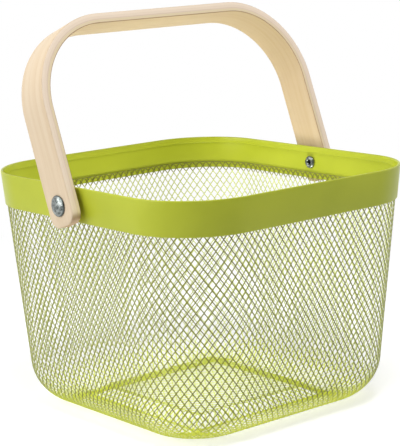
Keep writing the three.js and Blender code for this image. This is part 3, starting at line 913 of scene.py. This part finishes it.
def rivet_profile(handle):
    """Half section of a rivet as (radius, distance from the middle of the basket) pairs."""
    head = (RIVET_TOP.z - RIVET_LOW.z) / 2
    outside, inside = -RIVET_LOW.x, -RIVET_TOP.x
    seat_face = outside - handle.head_edge - handle.head_dome
    sphere = (head**2 + handle.head_dome**2) / (2 * handle.head_dome)
    tilt = math.asin(head / sphere)
    profile = []
    for k in range(11):
        turn = tilt * 0.97 * k / 10
        profile.append((sphere * math.sin(turn), outside - sphere * (1 - math.cos(turn))))
    profile += [(head, seat_face + handle.head_edge * 0.75), (head, seat_face + handle.head_edge * 0.2)]
    profile += [(head * 0.985, seat_face), (handle.shank / 2, seat_face)]
    grip_end = inside + handle.tail_height
    profile.append((handle.shank / 2, grip_end))
    roll = (handle.tail - handle.tail_bore) / 4
    for k in range(11):
        turn = math.pi * k / 10
        radius = handle.tail_bore / 2 + roll * (1 + math.cos(turn))
        profile.append((radius, grip_end - handle.tail_height * math.sin(turn)))
    bore_end = grip_end + handle.tail_bore_depth
    profile += [(handle.tail_bore / 2, bore_end), (0.0, bore_end)]
    return profile


class BASKET_OT_rivets(bpy.types.Operator):
    """Spins a domed rivet with a rolled hollow tail, and copies it to the other side"""

    bl_idname = "basket.rivets"
    bl_label = "Rivets"

    def execute(self, context):
        handle, finishes = context.scene.basket_handle, context.scene.basket_finishes
        profile = [Vector((-out, radius, PIVOT.z)) for radius, out in rivet_profile(handle)]
        left = lathe("domed_rivet_left", profile, PIVOT, (1, 0, 0), handle.round_steps, hollow=False)
        smooth(left, 40)
        head = (RIVET_TOP.z - RIVET_LOW.z) / 2
        # The dark zinc is painted reflection and painted shade.
        tones = finishes.zinc, finishes.zinc_reflection_and_shade
        zinc = metal_material("zinc_plate", *tones, head, 0.34, 0.5, 420.0, Metallic=1.0)
        seat_pair(left, "domed_rivet", zinc, "zinc", "rivet")
        return {"FINISHED"}


class BASKET_OT_spacers(bpy.types.Operator):
    """Spins a rounded spacer ring and copies it to the other side"""

    bl_idname = "basket.spacers"
    bl_label = "Spacers"

    def execute(self, context):
        handle, finishes = context.scene.basket_handle, context.scene.basket_finishes
        outer, bore = (SPACER_TOP.z - SPACER_LOW.z) / 2, handle.hole / 2
        near, far = -SPACER_TOP.x, -SPACER_LOW.x
        edge = (far - near) / 6
        section = arc_points(outer - edge, far - edge, edge, 90, 0, 4)
        section += arc_points(outer - edge, near + edge, edge, 0, -90, 4)
        section += [(bore, near), (bore, far)]
        profile = [Vector((-out, radius, PIVOT.z)) for radius, out in section]
        left = lathe("spacer_ring_left", profile, PIVOT, (1, 0, 0), handle.round_steps, hollow=True)
        smooth(left, 40)
        # The spacers darken to their base grey at the outer rim as painted shade; the paler patches are
        # rubbed wear.
        tones = finishes.spacer_rub, finishes.spacer
        grey = metal_material("spacer_grey", *tones, outer, 0.55, 0.2, 300.0)
        seat_pair(left, "spacer_ring", grey, "spacer", "spacer")
        return {"FINISHED"}


# Name, place, size, power and spread of each lamp, in metres, watts and degrees.
LAMPS = [
    ("left_softbox", (-1.45, 0.5, 0.75), 1.4, 20.5, 180),
    ("right_softbox", (1.5, -0.6, 0.5), 0.8, 1.8, 180),
    ("front_softbox", (-0.2, -0.5, 1.4), 0.5, 11.0, 180),
    ("inside_softbox", (0.0, 0.0, 0.012), 0.1, 0.24, 130),
]


def seen_rays(tree):
    """1 for rays by which the camera, gloss or glass sees a surface, and 0 for rays that light."""
    path = add_node(tree, "ShaderNodeLightPath")
    seen = calculate(tree, "MAXIMUM", path.outputs["Is Camera Ray"], path.outputs["Is Glossy Ray"])
    return calculate(tree, "MAXIMUM", seen, path.outputs["Is Transmission Ray"])


def by_ray(tree, seen, strength):
    """A strength of light for other rays, and 1 for rays that see."""
    return add_node(tree, "ShaderNodeMapRange", {"Value": seen, 3: strength, 4: 1.0}).outputs[0]


def floor_material(stage):
    """White floor that keeps shadows near the basket and fades to plain white further out."""
    material, tree = new_material("white_floor")
    paint = add_node(tree, "ShaderNodeBsdfDiffuse", {"Color": stage.floor_colour})
    seen = seen_rays(tree)
    glow = calculate(tree, "MULTIPLY", seen, stage.floor_lift)
    lift = add_node(tree, "ShaderNodeEmission", {"Strength": glow})
    near = add_node(tree, "ShaderNodeAddShader", {0: paint.outputs[0], 1: lift.outputs[0]})
    strength = by_ray(tree, seen, stage.bounce)
    white = add_node(tree, "ShaderNodeEmission", {"Strength": strength})
    place = add_node(tree, "ShaderNodeTexCoord").outputs["Object"]
    away = vector_node(tree, "LENGTH", place).outputs["Value"]
    fade = spread(tree, away, stage.fade_start, stage.fade_end)
    shaders = {0: fade, 1: near.outputs[0], 2: white.outputs[0]}
    surface = add_node(tree, "ShaderNodeMixShader", shaders)
    add_node(tree, "ShaderNodeOutputMaterial", {"Surface": surface.outputs[0]})
    return material


def camera_axes(stage):
    """The camera's directions to its right, upwards and backwards."""
    turn, lift = stage.azimuth, stage.elevation
    right = Vector((math.cos(turn), math.sin(turn), 0))
    back = Vector((math.sin(turn) * math.cos(lift), -math.cos(turn) * math.cos(lift), math.sin(lift)))
    rolled = right * math.cos(stage.roll) + back.cross(right) * math.sin(stage.roll)
    return rolled, back.cross(rolled), back


def light_world(stage):
    """Even light, darker from behind the camera, in front of a white backdrop."""
    world = bpy.data.worlds.new("studio")
    bpy.context.scene.world = world
    world.use_nodes = True
    tree = world.node_tree
    tree.nodes.clear()
    strength = by_ray(tree, seen_rays(tree), stage.sky)
    way = add_node(tree, "ShaderNodeTexCoord").outputs["Generated"]
    behind = vector_node(tree, "DOT_PRODUCT", way, camera_axes(stage)[2]).outputs["Value"]
    shade = spread(tree, behind, 0.2, 0.95, 1.0, 1.0 - stage.dark_side)
    path = add_node(tree, "ShaderNodeLightPath")
    shade = calculate(tree, "MAXIMUM", shade, path.outputs["Is Camera Ray"])
    strength = calculate(tree, "MULTIPLY", strength, shade)
    sky = add_node(tree, "ShaderNodeBackground", {"Strength": strength, "Color": (1, 1, 1, 1)})
    add_node(tree, "ShaderNodeOutputWorld", {"Surface": sky.outputs[0]})


def add_camera(stage):
    right, up, back = camera_axes(stage)
    axes = Matrix((right, up, back)).transposed().to_4x4()
    axes.translation = Vector((0, 0, stage.target_height)) + back * stage.distance
    camera = bpy.data.objects.new("camera", bpy.data.cameras.new("camera"))
    camera.data.lens = stage.lens
    camera.matrix_world = axes
    bpy.context.scene.collection.objects.link(camera)
    bpy.context.scene.camera = camera


class BASKET_OT_stage(bpy.types.Operator):
    """Adds the white floor, the soft lamps, the even light and the camera"""

    bl_idname = "basket.stage"
    bl_label = "Stage"

    def execute(self, context):
        stage = context.scene.basket_stage
        bpy.ops.object.select_all(action="DESELECT")
        bpy.ops.mesh.primitive_circle_add(vertices=96, radius=8.0, fill_type="NGON")
        floor = context.active_object
        floor.name = "floor"
        floor.location.z = MESH_LOW.z - stage.floor_drop
        bpy.ops.object.transform_apply()
        floor.data.materials.append(floor_material(stage))
        for name, place, size, power, lamp_spread in LAMPS:
            lamp = bpy.data.objects.new(name, bpy.data.lights.new(name, "AREA"))
            lamp.data.size = size
            lamp.data.energy = power
            lamp.data.spread = math.radians(lamp_spread)
            lamp.location = place
            lamp.visible_camera = False
            aim = Vector((0, 0, stage.target_height)) - Vector(place)
            lamp.rotation_euler = aim.to_track_quat("-Z", "Y").to_euler()
            context.scene.collection.objects.link(lamp)
        light_world(stage)
        add_camera(stage)
        context.scene.view_settings.view_transform = "Standard"
        return {"FINISHED"}


class BASKET_PT_panel(bpy.types.Panel):
    """Lists the basket's pieces, sizes and finishes"""

    bl_idname = "BASKET_PT_panel"
    bl_label = "Carrying Basket"
    bl_space_type = "VIEW_3D"
    bl_region_type = "UI"
    bl_category = "Basket"

    def draw(self, context):
        for operator in OPERATORS:
            self.layout.operator(operator.bl_idname)
        for title, group in GROUPS.items():
            settings = getattr(context.scene, title)
            column = self.layout.column(align=True)
            for name in group.__annotations__:
                column.prop(settings, name)


GROUPS = {
    "basket_body": BodySizes,
    "basket_handle": HandleSizes,
    "basket_finishes": Finishes,
    "basket_stage": StageSettings,
}
OPERATORS = [
    BASKET_OT_rim_band,
    BASKET_OT_mesh_body,
    BASKET_OT_floor_panel,
    BASKET_OT_handle,
    BASKET_OT_rivets,
    BASKET_OT_spacers,
    BASKET_OT_stage,
]


def register():
    for group in (*GROUPS.values(), *OPERATORS, BASKET_PT_panel):
        bpy.utils.register_class(group)
    for title, group in GROUPS.items():
        setattr(bpy.types.Scene, title, bpy.props.PointerProperty(type=group))


def unregister():
    for title in GROUPS:
        delattr(bpy.types.Scene, title)
    for group in (BASKET_PT_panel, *reversed(OPERATORS), *reversed(GROUPS.values())):
        bpy.utils.unregister_class(group)


def main():
    register()
    bpy.ops.basket.rim_band()
    bpy.ops.basket.mesh_body()
    bpy.ops.basket.floor_panel()
    bpy.ops.basket.handle()
    bpy.ops.basket.rivets()
    bpy.ops.basket.spacers()
    bpy.ops.basket.stage()


if __name__ == "__main__":
    main()
